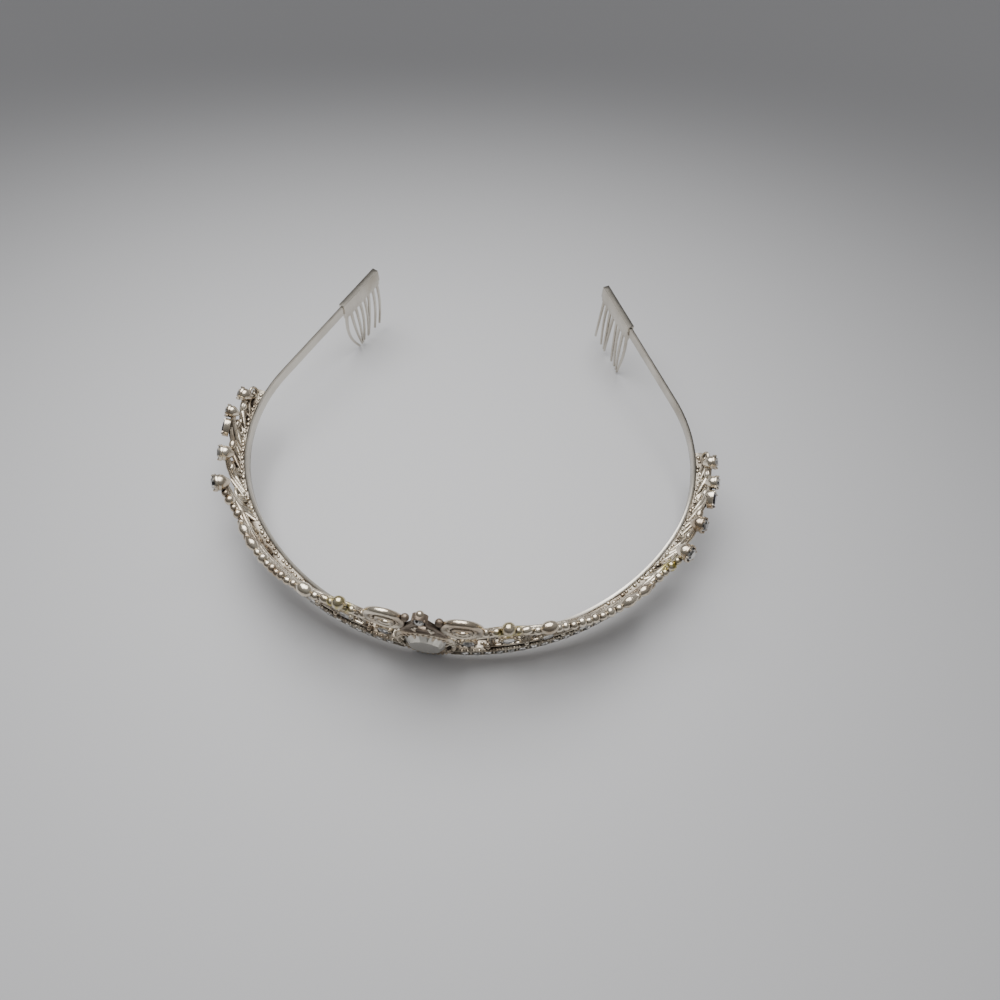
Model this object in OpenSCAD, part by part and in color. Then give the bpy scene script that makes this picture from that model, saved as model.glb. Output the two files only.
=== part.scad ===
/* [Headband] */
// Radius of the wide front curve, to the inner face of the band
front_radius = 70; // [60:1:80]
// Turn of the front curve on each side, in degrees
front_angle = 59; // [50:1:65]
// Radius of the tighter curve above each ear
side_radius = 47; // [40:1:60]
// Turn of the side curve, in degrees
side_angle = 58; // [50:1:62]
// Straight stretch that ends each side of the band
leg_length = 48; // [42:1:60]
// Height of the flat band
band_height = 3.2; // [2.4:0.1:4.5]
// Thickness of the flat band
band_thickness = 1; // [0.8:0.1:1.6]

/* [Combs] */
// Length of each comb's bar
comb_length = 19; // [16:1:30]
// Wall of the bar's sleeve round the band
sleeve_wall = 0.5; // [0.4:0.1:1.2]
// Gap all round between the band and the sleeve
sleeve_gap = 0.1; // [0.06:0.02:0.2]
// Depth of the solid web under the sleeve
web_height = 2.2; // [2:0.2:6]
// How far the tooth tips reach below the band's lower edge
tooth_drop = 20.5; // [14:0.5:26]
// Width of a tooth at its root
tooth_width = 1.2; // [0.9:0.1:1.6]
// Radius to which the teeth are bent towards the head
tooth_bend = 64.9; // [30:0.1:80]
// Number of teeth on a comb
tooth_count = 8; // [5:1:9]

/* [Crown] */
// Arc length from the middle of the crown to each of its ends
crown_half = 106; // [100:1:118]
// How far the crown's middle sits to the left of the band's middle
crown_shift = 5; // [0:0.5:8]
// Lean of the crown's wall at its middle, outwards from the band's square
lean_middle = -2; // [-12:1:10]
// Lean of the crown's wall along its sides
lean_side = 13; // [0:1:20]
// Distance from the band's inner face to the middle of the crown's wall
wall_offset = 2.4; // [2:0.1:3.2]
// Radius of the cast wires
wire_radius = 0.65; // [0.5:0.05:0.9]

/* [Stones] */
// Width of the middle stone
oval_width = 11.6; // [9:0.2:13]
// Height of the middle stone
oval_height = 13.4; // [10:0.2:15]
// Height of the middle stone's centre on the wall
oval_level = 5.8; // [5:0.1:8]
// Width of the small stones in the lower row
row_stone = 2.1; // [1.6:0.1:2.4]
// Spacing of the lower row
row_pitch = 2.9; // [2.7:0.05:4]
// Gap between a stone and its seat
stone_gap = 0.12; // [0.1:0.02:0.2]

/* [Hidden] */
metal = [0.80, 0.77, 0.70];
comb_metal = [0.84, 0.83, 0.79];
clear_stone = [0.90, 0.93, 0.95];
tint_stone = [0.80, 0.82, 0.80];

// Arc lengths of the two curves on one side, and of the whole side
front_arc = front_radius * front_angle * PI / 180;
side_arc = side_radius * side_angle * PI / 180;
band_half = front_arc + side_arc + leg_length;
leg_turn = front_angle + side_angle;

// Plan of the band's inner face: heading in degrees, then x and y, for a distance q from the middle
function heading(q) =
    q < front_arc ? q / front_radius * 180 / PI
    : q < front_arc + side_arc ? front_angle + (q - front_arc) / side_radius * 180 / PI
    : leg_turn;
function plan_x(q) =
    q < front_arc ? front_radius * sin(heading(q))
    : front_radius * sin(front_angle) + side_radius * (sin(heading(q)) - sin(front_angle))
      + max(0, q - front_arc - side_arc) * cos(leg_turn);
function plan_y(q) =
    q < front_arc ? front_radius * (1 - cos(heading(q)))
    : front_radius * (1 - cos(front_angle)) + side_radius * (cos(front_angle) - cos(heading(q)))
      + max(0, q - front_arc - side_arc) * sin(leg_turn);

// Side of the head, -1 left and 1 right, and the turn of the wall seen from above, at band place t
function side(t) = t < 0 ? -1 : 1;
function turn(t) = side(t) * heading(abs(t));
// Outward direction at band place t
function outward(t) = [sin(turn(t)), -cos(turn(t)), 0];
// Point at band place t, distance o outside the inner face and height z
function band_point(t, o, z) =
    [side(t) * plan_x(abs(t)), plan_y(abs(t)), z] + o * outward(t);

// The crown is laid out from its own middle: s is the arc length to the right of it
function band_place(s) = s - crown_shift;
lean_spread = 60;
function ease(u) = let (c = min(1, max(0, u))) c * c * (3 - 2 * c);
function lean(s) = lean_middle + (lean_side - lean_middle) * ease(abs(s) / lean_spread);
// Point on the leaning wall: s along, h up, o out from the band's inner face
function wall_point(s, h, o = wall_offset) =
    band_point(band_place(s), o + h * sin(lean(s)), h * cos(lean(s)));

// Frame of the middle stone: a ring of wire whose straight steps stay clear of the stone
frame_wire = 1.1;
frame_steps = 20;
girdle_out = 3.3;
frame_behind = 0.3;
frame_out = girdle_out - frame_behind;
frame_half = [for (d = [oval_width, oval_height])
    (d / 2 + stone_gap + frame_wire) / cos(180 / frame_steps)];

// Comb teeth: they leave the web upright and curve in towards the head
first_tooth = 1;
tooth_tip = 0.4;
sleeve_end = 1.5;
band_in_comb = comb_length - sleeve_end;
comb_start = band_half - band_in_comb;
web_low = -sleeve_gap - sleeve_wall - web_height;
tip_centre = tooth_tip - tooth_drop;
tip_bow = tooth_bend - sqrt(tooth_bend * tooth_bend - (tip_centre - web_low) * (tip_centre - web_low));

// The crown rests on the frame's lower edge and on the tips of its foremost teeth
frame_low = oval_level - frame_half[1];
front_rest = [-frame_out - frame_low * sin(lean_middle), frame_low * cos(lean_middle)];
tooth_rest = [plan_y(comb_start + first_tooth) + tip_bow * cos(leg_turn), tip_centre];
rest_run = tooth_rest - front_rest;
rest_tilt = asin((tooth_tip - frame_wire) / norm(rest_run)) - atan2(rest_run[1], rest_run[0]);
rest_lift = frame_wire - front_rest[0] * sin(rest_tilt) - front_rest[1] * cos(rest_tilt);
head_centre = front_radius * cos(rest_tilt);

// Names of the stones that are pieces of their own, counted outwards from the middle
TIPS = 4;
PANELS = 6;
function side_names(word, count) =
    [for (w = ["left", "right"]) for (i = [1:count]) str(word, "_", w, "_", i)];

// Sets the crown down on its front edge and its comb teeth
module at_rest() {
    translate([0, -head_centre, rest_lift])
        rotate([rest_tilt, 0, 0])
            children();
}

// Stands its children on the wall, x along the band, z up the wall and -y outwards
module on_wall(s, h = 0, o = wall_offset) {
    t = band_place(s);
    translate(band_point(t, o, 0))
        rotate([0, 0, turn(t)])
            rotate([lean(s), 0, 0])
                translate([0, 0, h])
                    children();
}

// Tube along points p with outward directions n and radii r; open tubes have flat ends
module tube(p, n, r, sides = 6, closed = false) {
    count = len(p);
    function after(i) = closed ? (i + 1) % count : min(i + 1, count - 1);
    function before(i) = closed ? (i + count - 1) % count : max(i - 1, 0);
    function unit(v) = v / norm(v);
    rings = [for (i = [0:count - 1])
        let (along = unit(p[after(i)] - p[before(i)]),
            across = unit(cross(along, n[i])),
            out = cross(across, along))
        for (j = [0:sides - 1])
            p[i] + r[i] * (cos(360 * j / sides) * out + sin(360 * j / sides) * across)];
    last = closed ? count - 1 : count - 2;
    walls = [for (i = [0:last]) for (j = [0:sides - 1])
        let (a = i * sides, b = ((i + 1) % count) * sides, k = (j + 1) % sides)
        [a + j, b + j, b + k, a + k]];
    caps = closed ? [] : [
        [for (j = [0:sides - 1]) j],
        [for (j = [sides - 1:-1:0]) (count - 1) * sides + j]];
    polyhedron(rings, concat(walls, caps), convexity = 6);
}

// Wire on the wall through rows of [s, h, o, radius]
module wall_wire(rows, sides = 5, closed = false) {
    tube([for (w = rows) wall_point(w[0], w[1], w[2])],
        [for (w = rows) outward(band_place(w[0]))],
        [for (w = rows) w[3]], sides, closed);
}

// Ring of wire on the wall round the centre (s, h)
module wall_ring(s, h, half_width, half_height, radius, steps = 10, o = wall_offset) {
    wall_wire([for (i = [0:steps - 1]) let (a = 360 * i / steps)
        [s + half_width * sin(a), h + half_height * cos(a), o, radius]], closed = true);
}

// Strip of constant section [out, up] laid along the band places in the list
module strip(places, section, leaning = false) {
    k = len(section);
    count = len(places);
    points = [for (t = places) for (q = section)
        leaning ? wall_point(t, q[1], q[0]) : band_point(t, q[0], q[1])];
    walls = [for (i = [0:count - 2]) for (j = [0:k - 1])
        let (a = i * k, b = (i + 1) * k, m = (j + 1) % k)
        [a + j, b + j, b + m, a + m]];
    caps = [[for (j = [0:k - 1]) j], [for (j = [k - 1:-1:0]) (count - 1) * k + j]];
    polyhedron(points, concat(walls, caps), convexity = 8);
}

// Outline of a stone or its seat, narrowed towards one end by taper
function outline(width, length, sides, taper = 0, shift = 0) = [for (j = [0:sides - 1])
    let (a = 360 * (j + shift) / sides)
    [width / 2 * cos(a) * (1 - taper * sin(a)), length / 2 * sin(a)]];

// Cut stone: table on top at z = crown_high, girdle at z = 0 and a point at z = -deep
module cut_stone(width, length, crown_high, deep, sides = 8, table = 0.58, taper = 0) {
    points = concat(
        [for (q = outline(table * width, table * length, sides, taper, -0.5)) [q[0], q[1], crown_high]],
        [for (q = outline(width, length, sides, taper)) [q[0], q[1], 0]],
        [[0, 0, -deep]]);
    faces = concat(
        [[for (j = [sides - 1:-1:0]) j]],
        [for (j = [0:sides - 1]) [j, (j + 1) % sides, sides + j]],
        [for (j = [0:sides - 1]) [(j + 1) % sides, sides + (j + 1) % sides, sides + j]],
        [for (j = [0:sides - 1]) [sides + j, sides + (j + 1) % sides, 2 * sides]]);
    polyhedron(points, faces, convexity = 2);
}

// Open cup for a stone: floor at z = 0 and rim at z = depth
cup_floor = 0.5;
module cup(width, length, depth, wall, sides = 8, taper = 0) {
    seat = 2 * stone_gap;
    edge = seat + 2 * wall;
    difference() {
        linear_extrude(depth)
            polygon(outline(width + edge, length + edge, sides, taper));
        translate([0, 0, cup_floor])
            linear_extrude(depth)
                polygon(outline(width + seat, length + seat, sides, taper));
    }
}

// Stone set in such a cup, its girdle a little below the rim
girdle_drop = 0.2;
module set_stone(width, length, depth, crown_high, sides = 8, taper = 0) {
    translate([0, 0, depth - girdle_drop])
        cut_stone(width, length, crown_high, depth - girdle_drop - cup_floor - stone_gap, sides,
            taper = taper);
}

// Headband

overlap = 0.25;
band_section = [[0, 0], [0, band_height], [band_thickness, band_height], [band_thickness, 0]];
band_steps = 44;
module band_strip() {
    strip([for (i = [0:band_steps]) -band_half + 2 * band_half * i / band_steps], band_section);
}

// Lower rail: a channel on both sides of the middle stone that holds the row of small stones

rail_low = -0.6;
rail_high = 2.9;
rail_front = 4.2;
rail_from = oval_width / 2 + stone_gap;
rail_steps = 18;
seat_depth = 0.9;
rail_lip = (rail_high - rail_low - row_stone) / 2 - stone_gap;
rail_section = [[band_thickness - overlap, rail_low], [band_thickness - overlap, rail_high],
    [rail_front, rail_high], [rail_front, rail_high - rail_lip],
    [rail_front - seat_depth, rail_high - rail_lip], [rail_front - seat_depth, rail_low + rail_lip],
    [rail_front, rail_low + rail_lip], [rail_front, rail_low]];
module lower_rail() {
    for (ends = [[-crown_half, -rail_from], [rail_from, crown_half]])
        strip([for (i = [0:rail_steps]) band_place(ends[0] + (ends[1] - ends[0]) * i / rail_steps)],
            rail_section);
}

// Middle medal: a wire frame round the oval stone, a plate behind it and a bead edge

plate_back = band_thickness - overlap;
plate_front = wall_offset - 0.7;
centre_sides = 16;
centre_crown = 1.6;
ball_sides = 10;
module oval_plate(width, height, depth) {
    rotate([90, 0, 0])
        linear_extrude(depth)
            polygon(outline(width, height, centre_sides));
}
module medal() {
    wall_ring(0, oval_level, frame_half[0], frame_half[1], frame_wire, frame_steps, frame_out);
    on_wall(0, oval_level, plate_back)
        oval_plate(2 * frame_half[0], 2 * frame_half[1], plate_front - plate_back);
}
module centre_stone() {
    color(clear_stone) at_rest()
        on_wall(0, oval_level, girdle_out)
            rotate([90, 0, 0])
                cut_stone(oval_width, oval_height, centre_crown, girdle_out - plate_front - stone_gap,
                    centre_sides);
}

// Peak: a pierced point between the two big loops, with a round stone at its top

peak_level = 25.4;
peak_low = 13.5;
peak_foot = 4.6;
peak_out = plate_front + 0.6;
peak_plate = 1.1;
peak_stone_width = 2.8;
peak_cup_depth = 1.9;
peak_cup_wall = 0.45;
peak_round = 1.1;
peak_stone_crown = 0.7;
peak_foot_round = 1;
peak_foot_rise = 1.6;
window_top = [0.4, peak_level - 5];
window_foot = [0.5, peak_low + 4];
window_half = 1.6;
peak_top = peak_level - peak_stone_width / 2 - stone_gap - peak_cup_wall / 4 - peak_round;
peak_shoulder = [4.1, 21.6, 1.15];
module peak_place() {
    on_wall(0, peak_level, peak_out)
        rotate([90, 0, 0])
            children();
}
module peak() {
    on_wall(0, 0, peak_out)
        rotate([90, 0, 0])
            linear_extrude(peak_plate)
                difference() {
                    hull() {
                        translate([0, peak_top]) circle(peak_round, $fn = 10);
                        for (m = [-1, 1])
                            translate([m * peak_foot, peak_low + peak_foot_rise])
                                circle(peak_foot_round, $fn = 8);
                    }
                    hull() {
                        translate([0, window_top[1]]) circle(window_top[0], $fn = 8);
                        for (m = [-1, 1])
                            translate([m * window_half, window_foot[1]]) circle(window_foot[0], $fn = 8);
                    }
                }
    peak_place() cup(peak_stone_width, peak_stone_width, peak_cup_depth, peak_cup_wall);
    for (m = [-1, 1])
        on_wall(m * peak_shoulder[0], peak_shoulder[1])
            sphere(peak_shoulder[2], $fn = ball_sides);
}
module peak_stone() {
    color(clear_stone) at_rest()
        peak_place() set_stone(peak_stone_width, peak_stone_width, peak_cup_depth, peak_stone_crown);
}

// Big loops on both sides of the medal

loop_place = 9.4;
loop_level = 18.4;
loop_half = [4.5, 5.2];
loop_wire = 1.0;
module big_loop(m) {
    wall_ring(m * loop_place, loop_level, loop_half[0], loop_half[1], loop_wire, 16, wall_offset + 0.2);
}

// Arches along the sides: [place, half width, top]; each carries a stone on a post

ARCHES = [
    [20.3, 4.5, 19.2],
    [29.9, 4.4, 17.0],
    [39.1, 4.1, 14.4],
    [47.5, 3.8, 11.9],
    [55.3, 3.5, 9.8]
];
arch_foot = rail_high - 0.6;
arch_steps = 7;
arch_sweep = 140;
module arch(m, row) {
    half = (row[2] - arch_foot) / (1 - cos(arch_sweep));
    wall_wire([for (i = [0:arch_steps])
        let (a = arch_sweep * (2 * i / arch_steps - 1))
        [m * row[0] + row[1] * sin(a), row[2] - half + half * cos(a), wall_offset, wire_radius]]);
}

// Grains along the top line: [place, height, radius, stretch along the line]

GRAINS = [
    [14.9, 16.9, 1.25, 1],
    [20.2, 20.9, 1.8, 1],
    [24.3, 18.8, 1.1, 1.6],
    [29.6, 19.3, 1.7, 1.4],
    [33.6, 16.9, 1.15, 1],
    [37.7, 15.9, 1.3, 1],
    [41.2, 14.9, 1.3, 1],
    [45.6, 13.3, 1.45, 1],
    [62.4, 8.9, 1.4, 1],
    [66.3, 10.5, 1.5, 1]
];
module grain(m, row) {
    on_wall(m * row[0], row[1], wall_offset + 0.3)
        scale([row[3], 1, 1])
            sphere(row[2], $fn = ball_sides);
}

// Line of wire under the grains, from the big loop to the first tip: [place, height]

TOP_LINE = [
    [13.0, 15.0],
    [16.0, 17.6],
    [20.3, 19.3],
    [25.0, 17.9],
    [30.0, 17.4],
    [39.0, 14.4],
    [47.5, 11.9],
    [55.3, 9.8],
    [62.0, 8.0],
    [67.0, 10.2],
    [70.0, 12.2]
];
module top_line(m) {
    wall_wire([for (row = TOP_LINE) [m * row[0], row[1], wall_offset + 0.1, wire_radius]]);
}

// Leaves between the grains: [place, height, length, half thickness, rise]

LEAVES = [
    [51.4, 11.6, 4.6, 0.95, 0.6],
    [56.8, 10.2, 4.6, 0.95, -0.4]
];
leaf_shape = [0.25, 0.8, 1, 0.8, 0.25];
module leaf(m, row) {
    wall_wire([for (i = [0:len(leaf_shape) - 1])
        let (u = i / (len(leaf_shape) - 1) - 0.5)
        [m * (row[0] + u * row[2]), row[1] + u * row[4], wall_offset + 0.3, row[3] * leaf_shape[i]]]);
}

// Tip settings, counted outwards from the middle: [place, height, cup radius, place of the foot]

TIP_CUPS = [
    [70.6, 13.4, 2.15, 66.2],
    [81.3, 8.9, 2.05, 74.6],
    [94.1, 9.0, 1.75, 86.2],
    [101.0, 7.0, 1.9, 94.4]
];
cup_turn = 52;
cup_out = wall_offset + 0.5;
rim = 0.42;
stem_gap = 0.62;
stem_steps = 3;
cup_sides = 10;
module cup_place(m, row) {
    on_wall(m * row[0], row[1], cup_out)
        rotate([cup_turn, 0, 0])
            children();
}
module tip_cup(m, row) {
    cup_place(m, row)
        difference() {
            hull() {
                sphere(row[2], $fn = cup_sides);
                translate([0, -0.3 * row[2], -0.9 * row[2]]) sphere(0.4 * row[2], $fn = cup_sides);
            }
            translate([0, 0, 0.25 * row[2] - stone_gap])
                cylinder(h = row[2], r = row[2] - rim, $fn = cup_sides);
        }
}
module stem(m, row, short = 0.8) {
    for (k = [-1, 1])
        wall_wire([for (i = [0:stem_steps])
            let (u = i / stem_steps)
            [m * (row[3] + (row[0] - row[3]) * u * (0.6 + 0.4 * u) + k * stem_gap * (1 - 0.5 * u)),
                arch_foot + (row[1] - short - arch_foot) * u,
                wall_offset + 0.3 * u, wire_radius * (1 - 0.15 * u)]]);
}

module tip_stone(m, row) {
    width = 2 * (row[2] - rim - stone_gap);
    deep = 0.27 * row[2];
    color(clear_stone) at_rest()
        cup_place(m, row)
            translate([0, 0, 0.25 * row[2] + deep])
                cut_stone(width, width, 0.32 * row[2], deep, cup_sides);
}

// Drop settings between the second and third tips: a pear-shaped cup on a stem, its narrow end
// turned back along the stem

DROP = [89.6, 7.6, 1.35, 82.6];
drop_roll = 105;
drop_length = 4.4;
drop_depth = 1.7;
drop_taper = 0.3;
drop_crown = 0.6;
drop_slack = 0.04;
module drop_place(m) {
    cup_place(m, DROP)
        rotate([0, 0, m * drop_roll])
            children();
}
module drop_cup(m) {
    drop_place(m)
        cup(2 * DROP[2] + drop_slack, drop_length + drop_slack, drop_depth, rim, taper = drop_taper);
}
module drop_stone(m) {
    color(tint_stone) at_rest()
        drop_place(m)
            set_stone(2 * DROP[2], drop_length, drop_depth, drop_crown, taper = drop_taper);
}

// Posts and round settings inside the arches and beside the medal: [place, height, stone radius]

PANEL_CUPS = [
    [10.6, 8.0, 1.9],
    for (a = ARCHES) [a[0], (a[2] + arch_foot) / 2 - 0.2, min(2, a[1] - 2)]
];
panel_rim = 0.4;
post_radius = 0.5;
post_out = wall_offset + 0.1;
panel_depth = 1.5;
panel_crown = 0.55;
module panel_place(m, row) {
    on_wall(m * row[0], row[1], wall_offset - 0.4)
        rotate([90, 0, 0])
            children();
}
module panel_cup(m, row) {
    panel_place(m, row) cup(2 * row[2], 2 * row[2], panel_depth, panel_rim);
}
module panel_stone(m, row) {
    color(clear_stone) at_rest()
        panel_place(m, row) set_stone(2 * row[2], 2 * row[2], panel_depth, panel_crown);
}
module post(m, row) {
    top = row[1] - row[2] - stone_gap - panel_rim / 4;
    wall_wire([for (h = [arch_foot, top]) [m * row[0], h, post_out, post_radius]]);
}

// Small stones in the channel of the lower rail, on both sides of the medal

row_from = frame_half[0] + frame_wire + row_stone / 2 + 0.3;
row_to = crown_half - 1.6;
row_count = floor((row_to - row_from) / row_pitch);
row_seat = rail_front - seat_depth + stone_gap;
row_deep = 0.65;
row_crown = 0.45;
module lower_row_stones() {
    color(clear_stone) at_rest()
        for (m = [-1, 1])
            for (i = [0:row_count]) {
                t = band_place(m * (row_from + i * row_pitch));
                translate(band_point(t, row_seat + row_deep, (rail_low + rail_high) / 2))
                    rotate([0, 0, turn(t)])
                        rotate([90, 0, 0])
                            cut_stone(row_stone, row_stone, row_crown, row_deep);
            }
}

module crown_frame() {
    color(metal) at_rest() {
        band_strip();
        lower_rail();
        medal();
        peak();
        for (m = [-1, 1]) {
            big_loop(m);
            top_line(m);
            for (row = ARCHES) arch(m, row);
            for (row = GRAINS) grain(m, row);
            for (row = LEAVES) leaf(m, row);
            for (row = TIP_CUPS) {
                tip_cup(m, row);
                stem(m, row);
            }
            drop_cup(m);
            stem(m, DROP, 0);
            for (row = PANEL_CUPS) {
                panel_cup(m, row);
                post(m, row);
            }
        }
    }
}

// Comb on the end of each leg: a sleeve over the band, a web under it and a row of teeth

web_thickness = 1.1;
tooth_thickness = 0.9;
tooth_root = 1;
tooth_pitch = (comb_length - 2 * first_tooth) / (tooth_count - 1);
module sleeve() {
    shell = sleeve_gap + sleeve_wall;
    difference() {
        translate([0, -band_thickness - shell, -shell])
            cube([comb_length, band_thickness + 2 * shell, band_height + 2 * shell]);
        translate([-1, -band_thickness - sleeve_gap, -sleeve_gap])
            cube([1 + band_in_comb + sleeve_gap, band_thickness + 2 * sleeve_gap,
                band_height + 2 * sleeve_gap]);
    }
}
module tooth_shape() {
    polygon([[-tooth_width / 2, web_low + tooth_root], [tooth_width / 2, web_low + tooth_root],
        [tooth_tip, tip_centre], [-tooth_tip, tip_centre]]);
    translate([0, tip_centre]) circle(tooth_tip, $fn = 24);
}
module teeth() {
    intersection() {
        translate([0, tooth_bend - band_thickness / 2, web_low])
            rotate([0, 90, 0])
                difference() {
                    cylinder(h = comb_length, r = tooth_bend + tooth_thickness / 2, $fn = 128);
                    translate([0, 0, -1])
                        cylinder(h = comb_length + 2, r = tooth_bend - tooth_thickness / 2, $fn = 128);
                }
        for (i = [0:tooth_count - 1])
            translate([first_tooth + i * tooth_pitch, tooth_bend / 2, 0])
                rotate([90, 0, 0])
                    linear_extrude(tooth_bend)
                        tooth_shape();
    }
}
module comb() {
    color(comb_metal) at_rest()
        translate(band_point(comb_start, 0, 0))
            rotate([0, 0, leg_turn]) {
                sleeve();
                translate([0, -(band_thickness + web_thickness) / 2, web_low])
                    cube([comb_length, web_thickness, web_height + sleeve_wall / 2]);
                teeth();
            }
}
module comb_left() {
    mirror([1, 0, 0]) comb();
}
module comb_right() {
    comb();
}

crown_frame();
comb_left();
comb_right();
centre_stone();
peak_stone();
drop_stone(-1);  // drop_stone_left
drop_stone(1);  // drop_stone_right
lower_row_stones();
for (m = [-1, 1]) {
    word = m < 0 ? "left" : "right";
    for (i = [1:TIPS])
        tip_stone(m, TIP_CUPS[i - 1]);
    for (i = [1:PANELS])
        panel_stone(m, PANEL_CUPS[i - 1]);
}
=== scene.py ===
"""Pageant tiara: a sprung headband with a pierced silver casting soldered to its outside, cut stones
set in it, and a comb on each end. Lengths are in millimetres along and up the crown's own wall."""

import math
import random

import bmesh
import bpy
from mathutils import Matrix, Vector


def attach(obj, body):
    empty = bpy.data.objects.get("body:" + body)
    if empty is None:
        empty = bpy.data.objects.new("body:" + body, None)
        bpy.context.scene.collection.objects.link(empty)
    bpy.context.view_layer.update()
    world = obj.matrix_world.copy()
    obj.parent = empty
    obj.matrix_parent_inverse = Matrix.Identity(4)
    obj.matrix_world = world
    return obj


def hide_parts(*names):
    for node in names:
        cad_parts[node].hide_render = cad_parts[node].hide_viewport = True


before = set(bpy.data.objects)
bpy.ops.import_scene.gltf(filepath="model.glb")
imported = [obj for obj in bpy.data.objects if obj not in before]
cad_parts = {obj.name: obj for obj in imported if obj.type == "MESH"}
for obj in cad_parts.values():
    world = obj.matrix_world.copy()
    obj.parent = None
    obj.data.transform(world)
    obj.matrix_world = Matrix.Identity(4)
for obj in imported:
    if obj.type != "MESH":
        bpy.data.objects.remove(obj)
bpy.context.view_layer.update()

# Headband. A flat strip of plated steel, bent to two arcs and a straight leg on each side and
# sprung round the head. At rest it is tilted: the crown's lower edge and the comb teeth carry it.

FRONT_RADIUS, FRONT_TURN = 70.0, math.radians(59)
SIDE_RADIUS, SIDE_TURN = 47.0, math.radians(58)
LEG = 48.0
FRONT_ARC, SIDE_ARC = FRONT_RADIUS * FRONT_TURN, SIDE_RADIUS * SIDE_TURN
BAND_HALF = FRONT_ARC + SIDE_ARC + LEG
BAND_HIGH, BAND_THICK, BAND_EDGE, BAND_STEPS = 3.2, 1.0, 0.12, 168
TILT, LIFT = math.radians(8.908), 3.767
METRES = 0.001
AT_REST = (Matrix.Scale(METRES, 4)
           @ Matrix.Translation((0, -FRONT_RADIUS * math.cos(TILT), LIFT))
           @ Matrix.Rotation(TILT, 4, "X"))
SHARP_EDGE, SMOOTH_UNDER, LOOKS_UP = 0.9, math.radians(38), 0.5


def on_band(t, out=0.0, up=0.0):
    """Axes t along the band from its middle: x along it, -y out and z up."""
    run = abs(t)
    front = min(run, FRONT_ARC) / FRONT_RADIUS
    turn = front + min(max(run - FRONT_ARC, 0), SIDE_ARC) / SIDE_RADIUS
    leg = max(run - FRONT_ARC - SIDE_ARC, 0)
    x = FRONT_RADIUS * math.sin(front) + SIDE_RADIUS * (math.sin(turn) - math.sin(front))
    y = FRONT_RADIUS * (1 - math.cos(front)) + SIDE_RADIUS * (math.cos(front) - math.cos(turn))
    hand = -1 if t < 0 else 1
    return (Matrix.Translation((hand * (x + leg * math.cos(turn)), y + leg * math.sin(turn), 0))
            @ Matrix.Rotation(hand * turn, 4, "Z") @ Matrix.Translation((0, -out, up)))


def verts_of(geometry):
    """The vertices among what an operator gave back."""
    return [g for g in geometry if isinstance(g, bmesh.types.BMVert)]


def round_edges(bm, bevel):
    """Rounds every edge whose faces meet sharply."""
    sharp = [e for e in bm.edges if e.calc_face_angle(0) > SHARP_EDGE]
    bmesh.ops.bevel(bm, geom=sharp, offset=bevel, segments=2, profile=0.5, affect="EDGES", material=-1)


def sweep(frames, section, bevel):
    """Strip with a closed section of (out, up) points, its upper faces marked for a painted shade on top."""
    bm = bmesh.new()
    ring = [bm.verts.new(frames[0] @ Vector((0, -out, up))) for out, up in section]
    edges = [bm.edges.new(pair) for pair in zip(ring, ring[1:] + ring[:1])]
    bm.faces.new(ring)
    for here, there in zip(frames, frames[1:]):
        grown = bmesh.ops.extrude_edge_only(bm, edges=edges)["geom"]
        verts = set(verts_of(grown))
        edges = [g for g in grown if isinstance(g, bmesh.types.BMEdge) and set(g.verts) <= verts]
        bmesh.ops.transform(bm, matrix=there @ here.inverted(), verts=list(verts))
    bmesh.ops.contextual_create(bm, geom=edges)
    bmesh.ops.recalc_face_normals(bm, faces=bm.faces)
    round_edges(bm, bevel)
    # Faces that look up are marked for painted shade: their tops are darkened in the colour.
    cut = bm.faces.layers.float.new("painted_top_shade")
    for face in bm.faces:
        face[cut] = float(face.normal.z > LOOKS_UP)
    return bm


def set_down(name, shape, material, slot, *nodes):
    """Piece of a mesh or curve that is already at rest, in place of the CAD nodes."""
    shape.materials.append(material)
    piece = bpy.data.objects.new(name, shape)
    bpy.context.scene.collection.objects.link(piece)
    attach(piece, "root")
    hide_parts(*nodes)


def add_piece(name, bm, material, slot, *nodes, smooth=True):
    """Piece of a bmesh that was built in the crown's own millimetres."""
    bmesh.ops.recalc_face_normals(bm, faces=bm.faces)
    bm.transform(AT_REST)
    mesh = bpy.data.meshes.new(name)
    bm.to_mesh(mesh)
    bm.free()
    if smooth:
        mesh.shade_smooth()
        mesh.set_sharp_from_angle(angle=SMOOTH_UNDER)
    set_down(name, mesh, material, slot, *nodes)


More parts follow.
